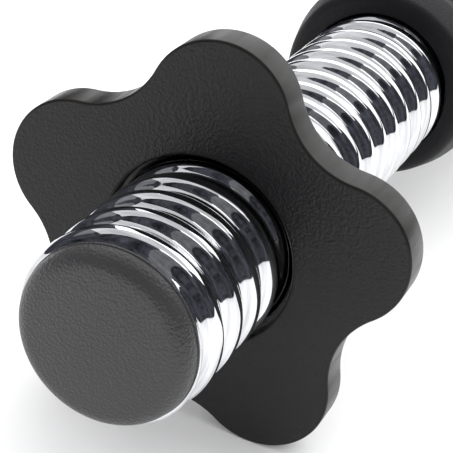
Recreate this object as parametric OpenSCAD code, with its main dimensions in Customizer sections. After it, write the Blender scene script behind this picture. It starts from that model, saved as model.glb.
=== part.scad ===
// Adjustable dumbbell handle: a threaded chrome tube with a grip, two fixed collars and two star nuts.
// X runs along the bar, Z is up, and the origin is on the floor under the middle of the bar.

/* [Bar] */
// Radius over the crests of the thread
bar_r = 14; // [12.5:0.5:15]
// Radius of the hole through the tube
tube_bore_r = 9.5; // [8:0.5:10]
// Distance along the bar for one turn of the thread
thread_pitch = 6.35; // [6:0.05:7]
// Depth of the thread from crest to root
thread_depth = 1.3; // [0.8:0.1:1.5]
// How narrow the grooves are beside the crests
groove_sharpness = 1.5; // [1:0.1:2]
// Distance along the bar from its middle to the crest that passes its top
crest_offset = 0.88; // [0:0.02:6]
// Length of each bare threaded sleeve, from collar to bar end
sleeve_length = 109; // [100:0.5:130]

/* [Grip] */
// Length of the grip between the two collars
grip_length = 122; // [110:2:140]
// Radius of the rubber grip at its middle
grip_r = 17.6; // [17:0.2:19]
// Number of grooves round the grip
grip_grooves = 13; // [7:2:15]

/* [Collars] */
// Radius of each fixed collar where it is widest, beside the grip
collar_r = 19.8; // [19:0.1:22]
// Length of each fixed collar along the bar
collar_length = 10; // [9:0.5:14]
// Radius of the rounded rims of each collar
collar_round = 2; // [1:0.2:3]
// How much smaller the radius of each collar is at its end beside the plates
collar_taper = 1.9; // [0:0.1:2]

/* [Star nut] */
// Distance from the bar end to the outer face of the nut
nut_setback = 27.2; // [20:0.1:60]
// Radius from the axis to the tip of a lobe
nut_tip_r = 32.7; // [30:0.1:36]
// Radius of the rounding of each lobe
lobe_r = 10.9; // [9:0.1:12]
// Radius from the axis to the bottom of a valley between lobes
valley_floor_r = 24.8; // [24:0.1:26]
// Number of lobes
lobe_count = 5; // [5:1:6]
// Thickness of the star
star_thickness = 6.4; // [5:0.2:8]
// Radius of the hole in the outer face
nut_mouth_r = 14.9; // [14.7:0.1:15.4]
// Radius of the hub behind the star
hub_r = 18; // [17.8:0.1:18.4]
// Distance from the outer face of the nut to the end of its hub
hub_end = 11.2; // [10.5:0.1:12]

/* [Gasket] */
// Thickness of the rubber gasket that meets the plate
gasket_thickness = 2; // [1.5:0.5:3]
// Outer radius of the gasket and its carrier
carrier_r = 19.2; // [19:0.1:19.6]

/* [Hidden] */
$fn = 96;

// Places along the bar, measured outwards from its middle
collar_in = grip_length / 2;
collar_out = collar_in + collar_length;
bar_end = collar_out + sleeve_length;
nut_face = bar_end - nut_setback;

// Height of the axis when each nut stands on two lobes
lobe_step = 360 / lobe_count;
lobe_centre = nut_tip_r - lobe_r;
axis_height = lobe_centre * cos(lobe_step / 2) + lobe_r;

// Circle of a valley, tangent to the circles of the two lobes beside it
valley_centre = (lobe_centre ^ 2 - (lobe_r - valley_floor_r) ^ 2)
    / (2 * (lobe_centre * cos(lobe_step / 2) + lobe_r - valley_floor_r));
valley_r = valley_centre - valley_floor_r;

// Facets of the helical surfaces
bar_sides = 16;
bar_rings_per_turn = 6;
insert_sides = 24;
insert_rings_per_turn = 9;
bar_lead_in = 1.6;
thread_runout = 3;

// Gaps and small sizes
thread_gap = 0.5;
rim_step = 0.5;
swivel_gap = 0.3;
wall_gap = 0.05;
cap_r = 12.85;
cap_lip_r = 13;
cap_dome = 3.8;
cap_round = 3;
cap_stem_length = 16;
cap_rib_count = 3;
insert_r = 16.2;
insert_start = 2;
snap_depth = 0.7;
snap_width = 1.2;
snap_start = 8.2;
carrier_bead = 0.65;
washer_thickness = 0.8;
carrier_floor = 1.2;
ring_bore_r = 15.2;
core_r = 16.4;
core_margin = 1.6;
screw_r = 2;
grip_core_r = 15.4;
grip_swell = 1.4;
groove_depth = 0.7;
groove_width = 2;
grip_end_gap = 0.4;
grip_end_band = 16;

// Radius of the thread surface at a place along the bar and an angle round it
function thread_groove(x, angle) =
    pow((1 - cos(360 * (x - crest_offset) / thread_pitch - angle + 90)) / 2, groove_sharpness);
function thread_surface(x, angle, depth) = bar_r - depth * thread_groove(x, angle);

// The thread fades out under the collars and tapers at the bar ends
function bar_depth(x) =
    abs(x) < collar_out - thread_runout ? 0 :
    abs(x) < collar_out ? thread_depth * (abs(x) - collar_out + thread_runout) / thread_runout :
    thread_depth;
function bar_surface(x, angle) =
    min(thread_surface(x, angle, bar_depth(x)),
        bar_r - 1.1 * max(0, abs(x) - bar_end + bar_lead_in) / bar_lead_in);

// Evenly spaced places along the bar, from one to another
function places(from, to, count) = [for (i = [0 : count]) from + (to - from) * i / count];

// A tube along X whose outer and inner radii follow rings of [place, radius at each angle]
module ring_tube(outer, inner, sides) {
    angles = [for (i = [0 : sides - 1]) i * 360 / sides];
    rows = concat(outer, [for (i = [len(inner) - 1 : -1 : 0]) inner[i]]);
    points = [for (row = rows) for (i = [0 : sides - 1])
        [row[0], row[1][i] * cos(angles[i]), row[1][i] * sin(angles[i])]];
    count = len(rows);
    faces = [for (j = [0 : count - 1]) for (i = [0 : sides - 1])
        let (k = (i + 1) % sides, m = (j + 1) % count)
        each [[j * sides + i, j * sides + k, m * sides + k], [j * sides + i, m * sides + k, m * sides + i]]];
    polyhedron(points = points, faces = faces, convexity = 12);
}

// Lift to the axis height and turn a shape drawn along Z so that it runs outwards along the bar
module on_axis(side) {
    translate([0, 0, axis_height])
        mirror([side < 0 ? 1 : 0, 0, 0])
            rotate([0, 90, 0])
                children();
}

// A ring round the bar between two places measured outwards from the middle
module ring(from, to, outer, inner) {
    translate([0, 0, from])
        difference() {
            cylinder(h = to - from, r = outer);
            translate([0, 0, -1])
                cylinder(h = to - from + 2, r = inner);
        }
}

module threaded_bar() {
    sleeve_rings = ceil((sleeve_length + thread_runout) / thread_pitch * bar_rings_per_turn);
    right = places(collar_out - thread_runout, bar_end, sleeve_rings);
    left = places(-bar_end, -collar_out + thread_runout, sleeve_rings);
    outer = [for (x = concat(left, right))
        [x, [for (i = [0 : bar_sides - 1]) bar_surface(x, i * 360 / bar_sides)]]];
    inner = [for (x = [-bar_end, bar_end]) [x, [for (i = [1 : bar_sides]) tube_bore_r]]];
    color("silver")
        translate([0, 0, axis_height])
            ring_tube(outer, inner, bar_sides);
}

module end_cap(side) {
    rib_step = (cap_stem_length - 4) / cap_rib_count;
    stem_r = tube_bore_r * cos(180 / bar_sides) - 0.1;
    color([0.2, 0.2, 0.2])
        on_axis(side)
            union() {
                // Domed head with a large rounded edge
                rotate_extrude()
                    union() {
                        translate([0, bar_end])
                            square([cap_r - cap_round, cap_dome]);
                        translate([0, bar_end])
                            square([cap_r, cap_dome - cap_round]);
                        intersection() {
                            translate([cap_r - cap_round, bar_end + cap_dome - cap_round])
                                circle(r = cap_round);
                            translate([0, bar_end])
                                square([cap_r, cap_dome]);
                        }
                    }
                // Thin lip against the end of the tube
                translate([0, 0, bar_end + wall_gap])
                    cylinder(h = 0.5, r = cap_lip_r);
                // Stem with shallow gripping ribs inside the tube
                translate([0, 0, bar_end - cap_stem_length])
                    cylinder(h = cap_stem_length + 1, r = stem_r - 0.6);
                for (i = [0 : cap_rib_count - 1])
                    translate([0, 0, bar_end - cap_stem_length + 2 + i * rib_step])
                        cylinder(h = 1.5, r = stem_r);
            }
}

module collar_core(side) {
    middle = (collar_in + collar_out) / 2;
    color([0.45, 0.45, 0.47])
        on_axis(side)
            difference() {
                ring(collar_in + core_margin, collar_out - core_margin, core_r, bar_r + wall_gap);
                translate([-bar_r, 0, middle])
                    rotate([0, -90, 0])
                        translate([0, 0, -1])
                            cylinder(h = core_r, r = screw_r + wall_gap);
            }
}

module collar_screw(side) {
    middle = (collar_in + collar_out) / 2;
    length = core_r - bar_r - 0.3;
    socket_r = screw_r / 2;
    color([0.15, 0.15, 0.15])
        on_axis(side)
            translate([-bar_r - 0.1, 0, middle])
                rotate([0, -90, 0])
                    difference() {
                        cylinder(h = length, r = screw_r);
                        translate([0, 0, length - 1.2])
                            cylinder(h = 2, r = socket_r, $fn = 6);
                    }
}

module collar_cover(side) {
    half = collar_length / 2;
    // Middles of the rounded rims, and the way out from them to the cone
    wide_end = [collar_r - collar_round, collar_round];
    narrow_end = [collar_r - collar_taper - collar_round, collar_length - collar_round];
    along = narrow_end - wide_end;
    out = collar_round * [along[1], -along[0]] / norm(along);
    color([0.19, 0.19, 0.2])
        on_axis(side)
            difference() {
                translate([0, 0, collar_in])
                    rotate_extrude()
                        union() {
                            polygon([[0, 0], [wide_end[0], 0], wide_end, wide_end + out, narrow_end + out,
                                narrow_end, [narrow_end[0], collar_length], [0, collar_length]]);
                            for (middle = [wide_end, narrow_end])
                                translate(middle)
                                    circle(r = collar_round);
                        }
                translate([0, 0, collar_in - 1])
                    cylinder(h = collar_length + 2, r = bar_r + wall_gap);
                translate([0, 0, collar_in + half - (half - core_margin) - wall_gap])
                    cylinder(h = 2 * (half - core_margin + wall_gap), r = core_r + wall_gap);
            }
}

module grip_core() {
    half = collar_in - grip_end_gap;
    color([0.3, 0.3, 0.3])
        on_axis(1)
            ring(-half, half, grip_core_r, bar_r + wall_gap);
}

// Radius of the barrel-shaped grip at a distance from its middle
function grip_surface(y, half) = grip_r - grip_swell * (y / half) ^ 2;

module grip_sleeve() {
    half = collar_in - grip_end_gap;
    step = (2 * half - grip_end_band) / (grip_grooves - 1);
    middles = [for (i = [0 : grip_grooves - 1]) (i - (grip_grooves - 1) / 2) * step];
    // Each groove has two points on the barrel and two on its floor
    grooves = [for (y = middles)
        let (top = groove_width / 2, bottom = groove_width / 4, floor_r = grip_surface(y, half) - groove_depth)
        each [[grip_surface(y - top, half), y - top], [floor_r, y - bottom],
            [floor_r, y + bottom], [grip_surface(y + top, half), y + top]]];
    inner_r = grip_core_r + wall_gap;
    outline = concat([[inner_r, -half], [grip_surface(half, half), -half]], grooves,
        [[grip_surface(half, half), half], [inner_r, half]]);
    color([0.16, 0.16, 0.16])
        on_axis(1)
            rotate_extrude()
                polygon(outline);
}

// Star outline drawn inwards by an inset: lobes and valleys are arcs that meet smoothly
module star(inset) {
    reach = lobe_r / (lobe_r + valley_r);
    chord = [for (i = [0 : lobe_count - 1])
        let (here = i * lobe_step, next = here + lobe_step, between = here + lobe_step / 2)
        let (a = lobe_centre * [cos(here), sin(here)], b = lobe_centre * [cos(next), sin(next)],
            v = valley_centre * [cos(between), sin(between)])
        each [a, a + (v - a) * reach, b + (v - b) * reach]];
    difference() {
        union() {
            polygon(chord);
            for (i = [0 : lobe_count - 1])
                rotate(i * lobe_step)
                    translate([lobe_centre, 0])
                        circle(r = lobe_r - inset);
        }
        for (i = [0 : lobe_count - 1])
            rotate((i + 0.5) * lobe_step)
                translate([valley_centre, 0])
                    circle(r = valley_r + inset);
    }
}

// The nut is drawn from its outer face at zero towards the middle of the bar
module nut_place(side) {
    translate([0, 0, axis_height])
        mirror([side < 0 ? 1 : 0, 0, 0])
            translate([nut_face, 0, 0])
                rotate([0, -90, 0])
                    children();
}

module star_nut(side) {
    color([0.17, 0.17, 0.18])
        nut_place(side)
            difference() {
                union() {
                    linear_extrude(height = star_thickness)
                        star(rim_step);
                    translate([0, 0, rim_step])
                        linear_extrude(height = star_thickness - 2 * rim_step)
                            star(0);
                    cylinder(h = hub_end, r = hub_r);
                }
                // Mouth round the bar, then the seat of the threaded insert
                translate([0, 0, -1])
                    cylinder(h = hub_end + 2, r = nut_mouth_r);
                translate([0, 0, insert_start])
                    cylinder(h = hub_end, r = insert_r + wall_gap);
                // Snap groove for the gasket carrier
                translate([0, 0, snap_start])
                    ring(0, snap_width, hub_r + 2, hub_r - snap_depth);
            }
}

module thread_insert(side) {
    from = side * nut_face - (side > 0 ? hub_end : -insert_start);
    length = hub_end - insert_start;
    rings = ceil(length / thread_pitch * insert_rings_per_turn);
    outer = [for (x = [from, from + length]) [x, [for (i = [1 : insert_sides]) insert_r]]];
    inner = [for (x = places(from, from + length, rings))
        [x, [for (i = [0 : insert_sides - 1])
            thread_surface(x, i * 360 / insert_sides, thread_depth) + thread_gap]]];
    color([0.6, 0.6, 0.58])
        translate([0, 0, axis_height])
            ring_tube(outer, inner, insert_sides);
}

module slip_washer(side) {
    start = hub_end + swivel_gap;
    color("ivory")
        nut_place(side)
            ring(start, start + washer_thickness, hub_r - 0.2, ring_bore_r);
}

module gasket_carrier(side) {
    floor_start = hub_end + 2 * swivel_gap + washer_thickness;
    skirt_start = snap_start - 0.4;
    skirt_r = hub_r + swivel_gap;
    bead_start = snap_start + swivel_gap;
    bead_width = snap_width - 2 * swivel_gap;
    color([0.22, 0.22, 0.22])
        nut_place(side)
            union() {
                ring(floor_start, floor_start + carrier_floor, carrier_r, ring_bore_r);
                ring(skirt_start, floor_start + carrier_floor, carrier_r, skirt_r);
                ring(bead_start, bead_start + bead_width, carrier_r - 0.2, skirt_r - carrier_bead);
            }
}

module gasket(side) {
    start = hub_end + 2 * swivel_gap + washer_thickness + carrier_floor;
    color([0.12, 0.12, 0.12])
        nut_place(side)
            ring(start, start + gasket_thickness, carrier_r, ring_bore_r + 0.2);
}

threaded_bar();
end_cap(-1);  // left_end_cap
end_cap(1);  // right_end_cap
collar_core(-1);  // left_collar_core
collar_core(1);  // right_collar_core
collar_cover(-1);  // left_collar_cover
collar_cover(1);  // right_collar_cover
collar_screw(-1);  // left_collar_screw
collar_screw(1);  // right_collar_screw
grip_core();
grip_sleeve();
star_nut(-1);  // left_star_nut
star_nut(1);  // right_star_nut
thread_insert(-1);  // left_thread_insert
thread_insert(1);  // right_thread_insert
slip_washer(-1);  // left_slip_washer
slip_washer(1);  // right_slip_washer
gasket_carrier(-1);  // left_gasket_carrier
gasket_carrier(1);  // right_gasket_carrier
gasket(-1);  // left_gasket
gasket(1);  // right_gasket
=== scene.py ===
"""Looks of the adjustable dumbbell handle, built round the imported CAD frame. All lengths are in metres."""

import math

import bmesh
import bpy
import numpy as np
from mathutils import Matrix, Vector


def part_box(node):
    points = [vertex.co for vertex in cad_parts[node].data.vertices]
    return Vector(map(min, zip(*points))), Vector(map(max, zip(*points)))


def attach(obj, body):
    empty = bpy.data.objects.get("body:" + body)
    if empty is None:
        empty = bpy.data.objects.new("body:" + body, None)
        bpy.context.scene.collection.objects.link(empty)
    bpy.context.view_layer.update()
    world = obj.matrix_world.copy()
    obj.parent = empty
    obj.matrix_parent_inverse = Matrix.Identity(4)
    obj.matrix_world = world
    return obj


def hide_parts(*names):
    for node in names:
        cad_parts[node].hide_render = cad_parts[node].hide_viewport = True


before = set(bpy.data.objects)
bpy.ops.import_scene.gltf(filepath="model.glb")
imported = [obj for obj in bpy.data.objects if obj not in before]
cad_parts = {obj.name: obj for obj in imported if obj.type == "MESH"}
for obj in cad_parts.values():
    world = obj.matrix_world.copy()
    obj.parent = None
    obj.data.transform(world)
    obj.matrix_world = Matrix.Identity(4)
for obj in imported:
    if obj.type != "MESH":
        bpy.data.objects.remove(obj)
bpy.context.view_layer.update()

MM = 0.001
SIDES = {"left": -1, "right": 1}


# ---------------------------------------------------------------- places taken from the frame


def reach(node, outer=True):
    """How far from the middle of the bar a node starts or ends, on either side."""
    low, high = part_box(node)
    ends = sorted((abs(low.x), abs(high.x)))
    return ends[1] if outer else ends[0]


def radius_of(node):
    low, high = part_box(node)
    return (high.y - low.y) / 2


bar_low, bar_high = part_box("threaded_bar")
AXIS_Z = (bar_low.z + bar_high.z) / 2
BAR_END = bar_high.x
BAR_R = round((bar_high.z - bar_low.z) / 2, 4)
COLLAR_IN = reach("right_collar_cover", outer=False)
COLLAR_OUT = reach("right_collar_cover")
NUT_FACE = reach("right_star_nut")
HUB_END = NUT_FACE - reach("right_star_nut", outer=False)

# Thread and bar, as in the CAD source
PITCH = 6.35 * MM
THREAD_DEPTH = 1.3 * MM
GROOVE_SHARPNESS = 1.5
CREST_OFFSET = 0.88 * MM
TUBE_BORE = 9.5 * MM
RUNOUT = 3 * MM
INSERT_R = 16.2 * MM
INSERT_START = 2 * MM
THREAD_GAP = 0.5 * MM

# Star nut and gasket, as in the CAD source
LOBES = 5
NUT_TIP = 32.7 * MM
LOBE_R = 10.9 * MM
VALLEY_FLOOR = 24.8 * MM
STAR_THICKNESS = 6.4 * MM
MOUTH_R = 14.9 * MM
HUB_R = 18 * MM
HUB_BORE = 16.25 * MM
SNAP_R = 17.3 * MM
SNAP_START = 8.2 * MM
SNAP_END = 9.4 * MM
GASKET_BORE = 15.4 * MM

# Points round each turned piece
LARGE_COLUMNS = 160
SMALL_COLUMNS = 128


# ---------------------------------------------------------------- mesh helpers


def mesh_object(name, points, faces, materials, material_of_face=None):
    mesh = bpy.data.meshes.new(name)
    mesh.from_pydata([tuple(p) for p in points], [], [tuple(f) for f in faces])
    for material in materials:
        mesh.materials.append(material)
    if material_of_face is not None:
        mesh.polygons.foreach_set("material_index", np.asarray(material_of_face, np.int32))
    mesh.polygons.foreach_set("use_smooth", np.full(len(mesh.polygons), True))
    mesh.update()
    piece = bpy.data.objects.new(name, mesh)
    bpy.context.scene.collection.objects.link(piece)
    return piece


def grid_faces(rows, columns, closed_rows):
    """Quads over rows x columns points, with each row a closed loop."""
    last = rows if closed_rows else rows - 1
    row, column = np.meshgrid(np.arange(last), np.arange(columns), indexing="ij")
    below, right = (row + 1) % rows, (column + 1) % columns
    here, under = row * columns, below * columns
    return np.stack([here + column, here + right, under + right, under + column], -1).reshape(-1, 4)


def round_corners(corners, steps=6):
    """A closed outline of (x, r, rounding) corners, with each corner turned into an arc."""
    points = []
    count = len(corners)
    for i, (x, r, rounding) in enumerate(corners):
        here = np.array([x, r])
        if rounding <= 0:
            points.append(here)
            continue
        before = np.array(corners[i - 1][:2]) - here
        after = np.array(corners[(i + 1) % count][:2]) - here
        before, after = before / np.linalg.norm(before), after / np.linalg.norm(after)
        half = math.acos(float(np.clip(before @ after, -1, 1))) / 2
        centre = here + (before + after) / np.linalg.norm(before + after) * rounding / math.sin(half)
        start = here + before * rounding / math.tan(half) - centre
        end = here + after * rounding / math.tan(half) - centre
        turn = math.atan2(start[0] * end[1] - start[1] * end[0], float(start @ end))
        for k in range(steps + 1):
            a = turn * k / steps
            points.append(centre + [start[0] * math.cos(a) - start[1] * math.sin(a),
                                    start[0] * math.sin(a) + start[1] * math.cos(a)])
    return points


def lathe(name, outline, materials, columns=LARGE_COLUMNS, closed=True):
    """Turns an outline of (x, r) round the bar's axis. Open outlines start and end on the axis."""
    angles = np.arange(columns) * 2 * math.pi / columns
    outline = np.array(outline)
    x = np.repeat(outline[:, :1], columns, 1)
    y = outline[:, 1:] * np.cos(angles)
    z = outline[:, 1:] * np.sin(angles) + AXIS_Z
    points = np.stack([x, y, z], -1).reshape(-1, 3)
    faces = grid_faces(len(outline), columns, closed)
    return mesh_object(name, points, faces, materials)


def face_outwards(piece):
    """Makes every face look out of the solid."""
    work = bmesh.new()
    work.from_mesh(piece.data)
    bmesh.ops.remove_doubles(work, verts=work.verts, dist=1e-7)
    bmesh.ops.recalc_face_normals(work, faces=work.faces)
    work.to_mesh(piece.data)
    work.free()
    return piece


# ---------------------------------------------------------------- materials


def new_material(name, colour, roughness, metallic=0.0, specular=0.5):
    material = bpy.data.materials.new(name)
    material.use_nodes = True
    shader = material.node_tree.nodes["Principled BSDF"]
    shader.inputs["Base Color"].default_value = (*colour, 1)
    shader.inputs["Roughness"].default_value = roughness
    shader.inputs["Metallic"].default_value = metallic
    shader.inputs["Specular IOR Level"].default_value = specular
    return material, material.node_tree, shader


def coordinates(tree, scale=(1, 1, 1)):
    place = tree.nodes.new("ShaderNodeTexCoord")
    mapping = tree.nodes.new("ShaderNodeMapping")
    mapping.inputs["Scale"].default_value = scale
    tree.links.new(place.outputs["Object"], mapping.inputs["Vector"])
    return mapping.outputs["Vector"]


def noise(tree, vector, scale, detail=2.0, roughness=0.5):
    node = tree.nodes.new("ShaderNodeTexNoise")
    node.inputs["Scale"].default_value = scale
    node.inputs["Detail"].default_value = detail
    node.inputs["Roughness"].default_value = roughness
    tree.links.new(vector, node.inputs["Vector"])
    return node.outputs["Fac"]


def remap(tree, value, low, high, from_low=0.3, from_high=0.7):
    node = tree.nodes.new("ShaderNodeMapRange")
    node.inputs["From Min"].default_value = from_low
    node.inputs["From Max"].default_value = from_high
    node.inputs["To Min"].default_value = low
    node.inputs["To Max"].default_value = high
    tree.links.new(value, node.inputs["Value"])
    return node.outputs["Result"]


def mix_colour(tree, factor, first, second):
    node = tree.nodes.new("ShaderNodeMix")
    node.data_type = "RGBA"
    node.inputs[6].default_value = (*first, 1)
    node.inputs[7].default_value = (*second, 1)
    tree.links.new(factor, node.inputs[0])
    return node.outputs[2]


def bump(tree, shader, heights):
    """Chains bump nodes for (height, depth in metres, strength) layers into the shader's normal."""
    normal = None
    for height, depth, strength in heights:
        node = tree.nodes.new("ShaderNodeBump")
        node.inputs["Distance"].default_value = depth
        node.inputs["Strength"].default_value = strength
        tree.links.new(height, node.inputs["Height"])
        if normal is not None:
            tree.links.new(normal, node.inputs["Normal"])
        normal = node.outputs["Normal"]
    tree.links.new(normal, shader.inputs["Normal"])


def chrome_material():
    """Plated steel with faint waves, smudges, specks and the streaks that rolling leaves round the bar."""
    material, tree, shader = new_material("chrome_plate", (0.86, 0.87, 0.89), 0.04, metallic=1.0)
    place = coordinates(tree)
    smudges = noise(tree, place, 90, detail=3)
    tree.links.new(remap(tree, smudges, 0.02, 0.08), shader.inputs["Roughness"])
    waves = noise(tree, place, 180, detail=1)
    rolling_marks = noise(tree, coordinates(tree, (1, 0.07, 0.07)), 1300, detail=3, roughness=0.6)
    shade = mix_colour(tree, remap(tree, rolling_marks, 0, 1), (0.5, 0.5, 0.515), (0.86, 0.87, 0.89))
    tree.links.new(shade, shader.inputs["Base Color"])
    specks = noise(tree, place, 1500)
    layers = [(waves, 0.03 * MM, 0.15), (rolling_marks, 0.01 * MM, 0.35), (specks, 0.002 * MM, 0.3)]
    bump(tree, shader, layers)
    return material


def grained_plastic(name, dark, light, roughness, cell, depth, specular=0.5):
    """Moulded plastic with a leather or pebble grain, its cells and depth given in metres."""
    material, tree, shader = new_material(name, dark, roughness, specular=specular)
    place = coordinates(tree)
    cells = tree.nodes.new("ShaderNodeTexVoronoi")
    cells.feature = "SMOOTH_F1"
    cells.inputs["Scale"].default_value = 1 / cell
    cells.inputs["Smoothness"].default_value = 0.6
    cells.inputs["Randomness"].default_value = 1.0
    tree.links.new(place, cells.inputs["Vector"])
    fine = noise(tree, place, 2.2 / cell, detail=3, roughness=0.6)
    broad = noise(tree, place, 60)
    tree.links.new(mix_colour(tree, broad, dark, light), shader.inputs["Base Color"])
    tree.links.new(remap(tree, fine, roughness - 0.08, roughness + 0.1), shader.inputs["Roughness"])
    bump(tree, shader, [(cells.outputs["Distance"], depth, 1), (fine, depth * 0.5, 0.7)])
    return material


def smooth_plastic(name, dark, light, roughness, streak=(1, 1, 1), specular=0.5):
    """Moulded plastic with faint flow streaks, stretched by the streak scales."""
    material, tree, shader = new_material(name, dark, roughness, specular=specular)
    streaks = noise(tree, coordinates(tree, streak), 500, detail=3, roughness=0.6)
    broad = noise(tree, coordinates(tree), 70)
    tree.links.new(mix_colour(tree, broad, dark, light), shader.inputs["Base Color"])
    tree.links.new(remap(tree, streaks, roughness - 0.06, roughness + 0.12), shader.inputs["Roughness"])
    bump(tree, shader, [(streaks, 0.03 * MM, 0.4)])
    return material


def turned_metal(name, colour, roughness):
    """Metal with the fine rings that a lathe leaves round the bar's axis."""
    material, tree, shader = new_material(name, colour, roughness, metallic=1.0)
    rings = noise(tree, coordinates(tree, (1, 0.02, 0.02)), 3000)
    tree.links.new(remap(tree, rings, roughness - 0.1, roughness + 0.12), shader.inputs["Roughness"])
    bump(tree, shader, [(rings, 0.01 * MM, 0.4)])
    return material


def make_materials():
    # Finish: name, dark and light colour, roughness, grain cell in mm, grain depth in mm, specular level
    grained = {
        "nut_face": ("nut_grain", (0.005, 0.005, 0.0055), (0.009, 0.009, 0.0098), 0.42, 0.4, 0.09, 0.36),
        "cap": ("cap_grain", (0.022, 0.021, 0.0215), (0.035, 0.0335, 0.035), 0.36, 0.4, 0.12, 0.5),
        "collar": ("collar_grain", (0.005, 0.005, 0.006), (0.009, 0.009, 0.0105), 0.5, 0.5, 0.04, 0.22),
        "grip": ("grip_rubber", (0.011, 0.011, 0.011), (0.017, 0.017, 0.016), 0.7, 0.6, 0.1, 0.5),
        "gasket": ("gasket_rubber", (0.010, 0.010, 0.010), (0.014, 0.014, 0.014), 0.75, 0.4, 0.05, 0.5),
    }
    along_rim = (0.15, 1, 1)
    rim_dark, rim_light = (0.007, 0.0065, 0.006), (0.015, 0.0135, 0.012)
    finishes = {
        "chrome": chrome_material(),
        "nut_rim": smooth_plastic("nut_rim", rim_dark, rim_light, 0.3, along_rim, specular=0.22),
        "carrier": smooth_plastic("carrier_plastic", (0.014, 0.014, 0.014), (0.02, 0.02, 0.02), 0.4),
        "grip_core": smooth_plastic("grip_core_plastic", (0.03, 0.03, 0.03), (0.04, 0.04, 0.04), 0.5),
        "washer": smooth_plastic("washer_nylon", (0.62, 0.6, 0.52), (0.7, 0.68, 0.6), 0.45),
        "insert": turned_metal("blackened_insert", (0.06, 0.06, 0.06), 0.4),
        "core_steel": turned_metal("turned_steel", (0.4, 0.4, 0.41), 0.4),
        "screw": turned_metal("black_oxide", (0.05, 0.05, 0.05), 0.45),
    }
    for finish, (name, dark, light, roughness, cell, depth, specular) in grained.items():
        finishes[finish] = grained_plastic(name, dark, light, roughness, cell * MM, depth * MM, specular)
    return finishes


# ---------------------------------------------------------------- thread


def thread_surface(x, angle, depth):
    """Radius of the single-start right-handed thread at x along the bar and an angle from +Y towards +Z."""
    turn = 2 * np.pi * (x - CREST_OFFSET) / PITCH - angle + np.pi / 2
    return BAR_R - depth * ((1 - np.cos(turn)) / 2) ** GROOVE_SHARPNESS


def ringed_solid(name, x, radius, plain_x, plain_r, angles, material):
    """A solid of rings round the bar, closed by plain rows that each have one x and one radius."""
    columns = len(angles)
    x = np.concatenate([x, np.repeat(plain_x[:, None], columns, 1)])
    radius = np.concatenate([radius, np.repeat(plain_r[:, None], columns, 1)])
    angle = np.repeat(angles[None], len(x), 0)
    points = np.stack([x, radius * np.cos(angle), radius * np.sin(angle) + AXIS_Z], -1).reshape(-1, 3)
    return face_outwards(mesh_object(name, points, grid_faces(len(x), columns, True), [material]))


def build_bar(material):
    columns, rings_per_turn = 120, 22
    rim_r, rim_wall = 0.9 * MM, 0.5 * MM
    rings = int((BAR_END - COLLAR_OUT) / PITCH * rings_per_turn)
    sleeve = np.linspace(COLLAR_OUT - RUNOUT, BAR_END - rim_r, rings)
    rim = BAR_END - rim_r + rim_r * np.sin(np.linspace(0, np.pi / 2, 9)[1:])
    half = np.concatenate([sleeve, rim])
    angles = np.arange(columns) * 2 * np.pi / columns
    x, angle = np.meshgrid(np.concatenate([-half[::-1], half]), angles, indexing="ij")
    fade = np.clip((np.abs(x) - COLLAR_OUT + RUNOUT) / RUNOUT, 0, 1)
    radius = thread_surface(x, angle, THREAD_DEPTH * fade)
    into_rim = np.clip((np.abs(x) - BAR_END + rim_r) / rim_r, 0, 1)
    radius = radius - rim_r * (1 - np.sqrt(1 - into_rim**2))
    bore_x = np.array([BAR_END, BAR_END - rim_wall, -BAR_END + rim_wall, -BAR_END])
    bore_r = np.array([TUBE_BORE + rim_wall, TUBE_BORE, TUBE_BORE, TUBE_BORE + rim_wall])
    piece = ringed_solid("chrome_bar", x, radius, bore_x, bore_r, angles, material)
    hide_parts("threaded_bar")
    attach(piece, "handle")


def build_insert(side_name, material):
    side = SIDES[side_name]
    columns, rings = 128, 48
    outer_end, inner_end = NUT_FACE - INSERT_START, NUT_FACE - HUB_END
    angles = np.arange(columns) * 2 * np.pi / columns
    x, angle = np.meshgrid(side * np.linspace(inner_end, outer_end, rings), angles, indexing="ij")
    radius = thread_surface(x, angle, THREAD_DEPTH) + THREAD_GAP
    edge = 0.3 * MM
    outer_x = side * np.array([outer_end, outer_end - edge, inner_end + edge, inner_end])
    outer_r = np.array([INSERT_R - edge, INSERT_R, INSERT_R, INSERT_R - edge])
    piece = ringed_solid(f"{side_name}_insert", x, radius, outer_x, outer_r, angles, material)
    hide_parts(f"{side_name}_thread_insert")
    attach(piece, f"{side_name}_nut")


# ---------------------------------------------------------------- star nut


def star_outline(per_arc=48):
    """Points and outward normals of the star: a lobe arc and a valley arc, tangent, for each lobe."""
    step = 2 * math.pi / LOBES
    centre = NUT_TIP - LOBE_R
    along = centre * math.cos(step / 2)
    valley_centre = (centre**2 - (LOBE_R - VALLEY_FLOOR) ** 2) / (2 * (along + LOBE_R - VALLEY_FLOOR))
    valley_r = valley_centre - VALLEY_FLOOR
    lobe_at = np.array([centre, 0.0])
    valley_at = valley_centre * np.array([math.cos(step / 2), math.sin(step / 2)])
    tangent = math.atan2(*(valley_at - lobe_at)[::-1])
    valley_start = tangent + math.pi
    valley_end = 2 * (step / 2 + math.pi) - valley_start
    # Arc: centre, radius, whether its outward normal points away from the centre, first and last angle
    arcs = [(lobe_at, LOBE_R, 1, -tangent, tangent), (valley_at, valley_r, -1, valley_start, valley_end)]
    points, normals = [], []
    for lobe in range(LOBES):
        turn = lobe * step
        spin = np.array([[math.cos(turn), -math.sin(turn)], [math.sin(turn), math.cos(turn)]])
        for middle, radius, outward, first, last in arcs:
            for a in np.linspace(first, last, per_arc, endpoint=False):
                direction = np.array([math.cos(a), math.sin(a)])
                points.append(spin @ (middle + radius * direction))
                normals.append(spin @ (outward * direction))
    return np.array(points), np.array(normals)


def quarter_turn(steps):
    return np.linspace(0, math.pi / 2, steps)


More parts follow.
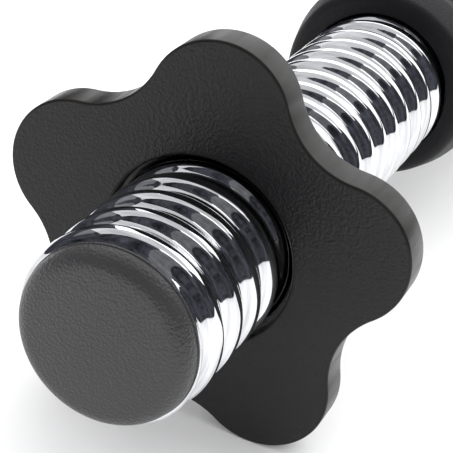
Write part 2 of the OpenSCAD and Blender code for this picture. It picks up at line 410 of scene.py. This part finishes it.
def nut_loops(outline, normals):
    """Loops of (up, across, depth) round the nut, depth from its outer face, and which ones are rim."""
    count = len(outline)
    directions = outline / np.linalg.norm(outline, axis=1)[:, None]
    front_round, back_round, root = 0.4 * MM, 0.9 * MM, 1 * MM
    mouth_round, mouth_depth = 0.5 * MM, 2 * MM
    loops = []

    def loop(ring, depth, rim):
        loops.append((np.column_stack([ring, np.full(count, depth)]), rim))

    # Down the mouth, over its rounded lip, across the face and round the front edge
    loop(directions * INSERT_R, mouth_depth, True)
    loop(directions * MOUTH_R, mouth_depth, True)
    for a in quarter_turn(9):
        lip = MOUTH_R + mouth_round * (1 - math.cos(a))
        loop(directions * lip, mouth_round * (1 - math.sin(a)), True)
    front_edge = outline - normals * front_round
    for share in np.linspace(0, 1, 18)[1:-1]:
        loop(directions * (MOUTH_R + mouth_round) * (1 - share) + front_edge * share, 0, False)
    for a in quarter_turn(8):
        inset = front_round * (1 - math.sin(a))
        loop(outline - normals * inset, front_round * (1 - math.cos(a)), a > 0)
    # Down the rim, round the back edge, across the back and along the hub
    for a in quarter_turn(8):
        inset = back_round * (1 - math.cos(a))
        loop(outline - normals * inset, STAR_THICKNESS - back_round * (1 - math.sin(a)), True)
    back_edge = outline - normals * back_round
    for share in np.linspace(0, 1, 12)[1:-1]:
        loop(directions * (HUB_R + root) * share + back_edge * (1 - share), STAR_THICKNESS, False)
    for a in quarter_turn(5):
        fillet = HUB_R + root * (1 - math.sin(a))
        loop(directions * fillet, STAR_THICKNESS + root * (1 - math.cos(a)), True)
    for radius, depth in ((HUB_R, SNAP_START), (SNAP_R, SNAP_START), (SNAP_R, SNAP_END), (HUB_R, SNAP_END),
                          (HUB_R, HUB_END), (HUB_BORE, HUB_END)):
        loop(directions * radius, depth, True)
    return np.array([ring for ring, _ in loops]), np.array([rim for _, rim in loops])


def build_nut(side_name, face_material, rim_material):
    side = SIDES[side_name]
    outline, normals = star_outline()
    count = len(outline)
    loops, rim = nut_loops(outline, normals)
    # Outline angle zero is the lobe that points straight up
    x = side * (NUT_FACE - loops[..., 2])
    y = loops[..., 1]
    z = loops[..., 0] + AXIS_Z
    points = np.stack([x, y, z], -1).reshape(-1, 3)
    on_rim = np.repeat(np.roll(rim, -1), count).astype(int)
    faces = grid_faces(len(loops), count, True)
    piece = mesh_object(f"{side_name}_star", points, faces, [face_material, rim_material], on_rim)
    face_outwards(piece)
    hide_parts(f"{side_name}_star_nut")
    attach(piece, f"{side_name}_nut")


# ---------------------------------------------------------------- turned pieces


def mirrored(side_name, corners):
    """Outline corners drawn for the right end, moved to either end."""
    side = SIDES[side_name]
    return [(side * x, r, rounding) for x, r, rounding in corners]


def build_cap(side_name, material):
    tip = reach(f"{side_name}_end_cap")
    stem_end = reach(f"{side_name}_end_cap", outer=False)
    lip_r = radius_of(f"{side_name}_end_cap")
    head_r, stem_r, lip_round = 12.85 * MM, 9.1 * MM, 0.15 * MM
    lip_in, lip_out = BAR_END + 0.05 * MM, BAR_END + 0.5 * MM
    sag, edge_round, face_share = 0.5 * MM, 2.7 * MM, 0.72
    corners = [
        (stem_end, 0, 0), (stem_end, stem_r, 0.5 * MM), (lip_in, stem_r, 0), (lip_in, lip_r, lip_round),
        (lip_out, lip_r, lip_round), (lip_out, head_r, 0), (tip - sag, head_r, edge_round),
    ]
    corners += [(tip - sag * share**2, head_r * share, 0) for share in np.linspace(face_share, 0, 10)]
    outline = round_corners(mirrored(side_name, corners), 12)
    piece = lathe(f"{side_name}_cap", outline, [material], closed=False)
    face_outwards(piece)
    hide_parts(f"{side_name}_end_cap")
    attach(piece, "handle")


def build_collar(side_name, material):
    collar_r = radius_of(f"{side_name}_collar_cover")
    bore, bore_round = BAR_R + 0.05 * MM, 0.3 * MM
    grip_side_r, plate_side_r = collar_r + 0.3 * MM, collar_r - 2 * MM
    core_r, margin = 16.45 * MM, 1.55 * MM
    corners = [
        (COLLAR_IN, bore, bore_round), (COLLAR_IN, grip_side_r, 2.4 * MM),
        (COLLAR_OUT, plate_side_r, 2.2 * MM), (COLLAR_OUT, bore, bore_round),
        (COLLAR_OUT - margin, bore, 0), (COLLAR_OUT - margin, core_r, 0),
        (COLLAR_IN + margin, core_r, 0), (COLLAR_IN + margin, bore, 0),
    ]
    piece = lathe(f"{side_name}_collar", round_corners(mirrored(side_name, corners), 10), [material])
    face_outwards(piece)
    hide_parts(f"{side_name}_collar_cover")
    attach(piece, "handle")


def build_grip(material):
    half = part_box("grip_sleeve")[1].x
    top_r = radius_of("grip_sleeve")
    inner_r, swell, end_round = 15.45 * MM, 1.4 * MM, 0.6 * MM
    grooves, end_band = 13, 16 * MM
    depth, width, edge_round, floor_round = 0.7 * MM, 2 * MM, 0.35 * MM, 0.3 * MM
    step = (2 * half - end_band) / (grooves - 1)

    def surface(x):
        return top_r - swell * (x / half) ** 2

    corners = [(-half, inner_r, 0), (-half, surface(half), end_round)]
    for i in range(grooves):
        x = (i - (grooves - 1) / 2) * step
        start, end, floor = x - width / 2, x + width / 2, surface(x) - depth
        corners += [
            (start, surface(start), edge_round), (x - width / 4, floor, floor_round),
            (x + width / 4, floor, floor_round), (end, surface(end), edge_round),
        ]
    corners += [(half, surface(half), end_round), (half, inner_r, 0)]
    piece = lathe("rubber_grip", round_corners(corners, 5), [material])
    face_outwards(piece)
    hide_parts("grip_sleeve")
    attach(piece, "handle")


def build_gasket(side_name, material):
    """A rubber ring with concentric grooves in the face that meets the plate."""
    outer_r = radius_of(f"{side_name}_gasket")
    face, back = reach(f"{side_name}_gasket", outer=False), reach(f"{side_name}_gasket")
    grooves, groove, groove_round = 3, 0.25 * MM, 0.1 * MM
    pitch = (outer_r - GASKET_BORE) / (grooves + 0.5)
    corners = [(back, GASKET_BORE, 0), (back, outer_r, 0.1 * MM), (face, outer_r, 0.35 * MM)]
    for i in range(grooves, 0, -1):
        r = GASKET_BORE + i * pitch
        corners += [(face, r + groove, groove_round), (face + groove, r, groove_round)]
        corners += [(face, r - groove, groove_round)]
    corners += [(face, GASKET_BORE, 0.2 * MM)]
    outline = round_corners(mirrored(side_name, corners), 4)
    piece = lathe(f"{side_name}_gasket_rubber", outline, [material], SMALL_COLUMNS)
    face_outwards(piece)
    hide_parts(f"{side_name}_gasket")
    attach(piece, f"{side_name}_gasket_ring")


def build_carrier(side_name, material):
    """The cup that holds the gasket, with a bead that snaps into the hub's groove."""
    outer_r = radius_of(f"{side_name}_gasket")
    outer, inner = reach(f"{side_name}_gasket_carrier"), reach(f"{side_name}_gasket_carrier", outer=False)
    floor = inner + 1.2 * MM
    bore, skirt_r, bead_r = GASKET_BORE - 0.2 * MM, HUB_R + 0.3 * MM, HUB_R - 0.35 * MM
    bead_out, bead_in, fine_round = outer - 0.7 * MM, outer - 1.3 * MM, 0.15 * MM
    corners = [
        (inner, bore, fine_round), (floor, bore, fine_round), (floor, skirt_r, 0.2 * MM),
        (bead_in, skirt_r, 0), (bead_in, bead_r, fine_round), (bead_out, bead_r, fine_round),
        (bead_out, skirt_r, 0), (outer, skirt_r, fine_round), (outer, outer_r, 0.3 * MM),
        (inner, outer_r, 0.1 * MM),
    ]
    outline = round_corners(mirrored(side_name, corners), 4)
    piece = lathe(f"{side_name}_carrier", outline, [material], SMALL_COLUMNS)
    face_outwards(piece)
    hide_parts(f"{side_name}_gasket_carrier")
    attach(piece, f"{side_name}_gasket_ring")


# ---------------------------------------------------------------- stage, light and camera


def make_floor():
    material, _, _ = new_material("floor_white", (0.8, 0.8, 0.8), 0.6)
    size = 4.0
    corners = [(-size, -size, 0), (size, -size, 0), (size, size, 0), (-size, size, 0)]
    mesh = bpy.data.meshes.new("floor")
    mesh.from_pydata(corners, [], [(0, 1, 2, 3)])
    mesh.materials.append(material)
    floor = bpy.data.objects.new("floor", mesh)
    bpy.context.scene.collection.objects.link(floor)


def make_panel(name, azimuth, elevation, distance, width, height, radiance, aim):
    """A soft rectangular light, placed by its direction from aim. Azimuth runs from +X towards +Y."""
    light = bpy.data.lights.new(name, "AREA")
    light.shape = "RECTANGLE"
    light.size, light.size_y = width, height
    light.energy = radiance * math.pi * width * height
    panel = bpy.data.objects.new(name, light)
    a, e = math.radians(azimuth), math.radians(elevation)
    away = Vector((math.cos(a) * math.cos(e), math.sin(a) * math.cos(e), math.sin(e)))
    panel.location = aim + away * distance
    panel.rotation_mode = "QUATERNION"
    panel.rotation_quaternion = (-away).to_track_quat("-Z", "Y")
    panel.visible_camera = False
    bpy.context.scene.collection.objects.link(panel)


def make_skylight(strength, spread):
    """Even light over the whole floor, hidden from gloss so that the panels shape the reflections."""
    light = bpy.data.lights.new("skylight", "SUN")
    light.energy = strength
    light.angle = math.radians(spread)
    lamp = bpy.data.objects.new("skylight", light)
    lamp.location = (0, 0, 2)
    lamp.visible_glossy = False
    bpy.context.scene.collection.objects.link(lamp)


def make_world():
    """A dim mottled studio for the reflections, behind a plain pale background."""
    world = bpy.data.worlds.new("studio")
    bpy.context.scene.world = world
    world.use_nodes = True
    tree = world.node_tree
    direction = tree.nodes.new("ShaderNodeTexCoord").outputs["Generated"]
    mottling = noise(tree, direction, 4, detail=6, roughness=0.7)
    clutter = remap(tree, mottling, 0, 1, from_low=0.35, from_high=0.7)
    studio = mix_colour(tree, clutter, (0.01, 0.01, 0.012), (0.12, 0.125, 0.15))
    background = tree.nodes["Background"]
    tree.links.new(studio, background.inputs["Color"])
    pale = tree.nodes.new("ShaderNodeBackground")
    pale.inputs["Color"].default_value = (1, 1, 1, 1)
    path = tree.nodes.new("ShaderNodeLightPath")
    either = tree.nodes.new("ShaderNodeMixShader")
    tree.links.new(path.outputs["Is Camera Ray"], either.inputs[0])
    tree.links.new(background.outputs[0], either.inputs[1])
    tree.links.new(pale.outputs[0], either.inputs[2])
    tree.links.new(either.outputs[0], tree.nodes["World Output"].inputs[0])


def make_lights():
    near_end = Vector((-0.16, 0, AXIS_Z))
    # name, azimuth, elevation, distance, width, height, radiance
    panels = [
        ("overhead_softbox", 10, 62, 1.2, 2.2, 1.1, 0.75),
        ("back_softbox", -2, 24, 1.2, 1.5, 0.86, 1.8),
        ("side_strip", -68, 58, 1.2, 0.16, 0.8, 1.3),
        ("side_fill", -105, 66, 1.2, 0.7, 0.5, 0.12),
        ("near_fill", 68, 36, 1.2, 0.7, 0.4, 0.2),
    ]
    for name, azimuth, elevation, distance, width, height, radiance in panels:
        make_panel(name, azimuth, elevation, distance, width, height, radiance, near_end)
    make_skylight(strength=4.8, spread=160)
    make_world()


def make_camera():
    eye = Vector((-0.33483, -0.06836, 0.13362))
    aim = Vector((-0.142059, -0.000208, 0.028292))
    roll = Matrix.Rotation(math.radians(9.016), 3, "Z").to_quaternion()
    camera = bpy.data.cameras.new("camera")
    camera.sensor_width = 36
    camera.lens = 120.56
    camera.clip_start, camera.clip_end = 0.01, 20
    holder = bpy.data.objects.new("camera", camera)
    holder.location = eye
    holder.rotation_mode = "QUATERNION"
    holder.rotation_quaternion = (aim - eye).to_track_quat("-Z", "Y") @ roll
    bpy.context.scene.collection.objects.link(holder)
    bpy.context.scene.camera = holder
    # Shows the pale floor as white instead of gray
    bpy.context.scene.view_settings.view_transform = "Standard"


# ---------------------------------------------------------------- build


def paint_cad_nodes(materials):
    """The pieces hidden inside the handle keep their CAD shape."""
    finishes = {"grip_core": "grip_core"}
    for side_name in SIDES:
        finishes[f"{side_name}_collar_core"] = "core_steel"
        finishes[f"{side_name}_collar_screw"] = "screw"
        finishes[f"{side_name}_slip_washer"] = "washer"
    for node, finish in finishes.items():
        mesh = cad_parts[node].data
        mesh.materials.clear()
        mesh.materials.append(materials[finish])


make_camera()
make_floor()
make_lights()
materials = make_materials()
build_bar(materials["chrome"])
build_grip(materials["grip"])
for side_name in SIDES:
    build_cap(side_name, materials["cap"])
    build_collar(side_name, materials["collar"])
    build_nut(side_name, materials["nut_face"], materials["nut_rim"])
    build_insert(side_name, materials["insert"])
    build_gasket(side_name, materials["gasket"])
    build_carrier(side_name, materials["carrier"])
paint_cad_nodes(materials)
